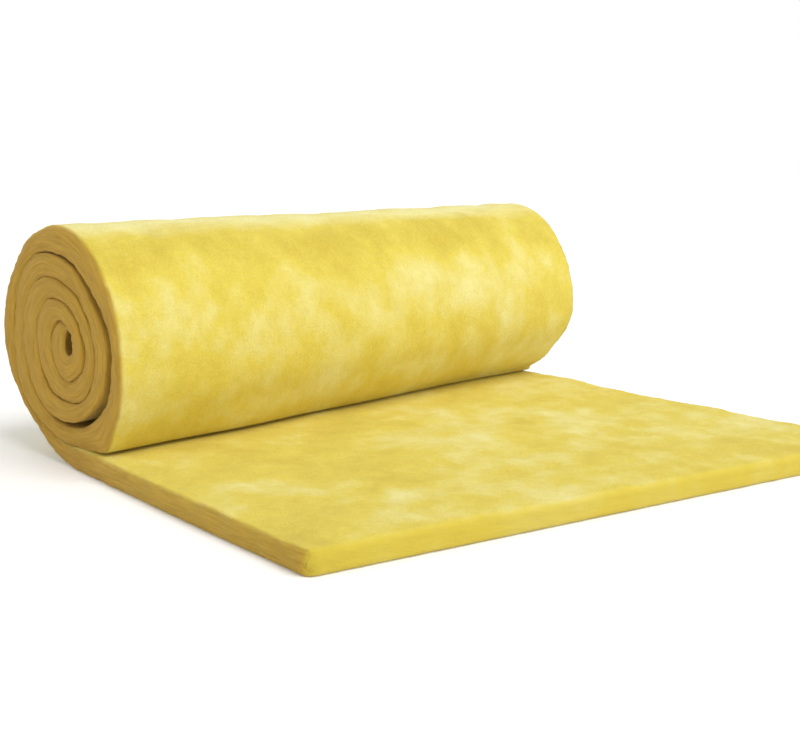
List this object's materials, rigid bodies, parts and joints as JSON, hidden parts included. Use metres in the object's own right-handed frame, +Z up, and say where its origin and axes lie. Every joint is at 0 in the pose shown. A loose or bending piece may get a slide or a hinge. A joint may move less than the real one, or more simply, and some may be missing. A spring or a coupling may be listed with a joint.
{
  "type": "insulation roll",
  "caption": "Unfaced yellow glass wool insulation blanket, partly rolled up, with a loose spiral roll at one end and a flat flap at the other.",
  "frame": {"origin": "on the floor under the middle of the roll's axis, at half the blanket's width", "axes": "+X from the roll towards the flap's free end, +Y along the roll, +Z up"},
  "size_m": [1.2019, 1.2361, 0.442],
  "materials": {
    "glass_wool": "matt soft fibre, mottled yellow, tan on the cut ends"
  },
  "bodies": {
    "root": {"glass_wool_blanket": "glass_wool"}
  },
  "joints": []
}
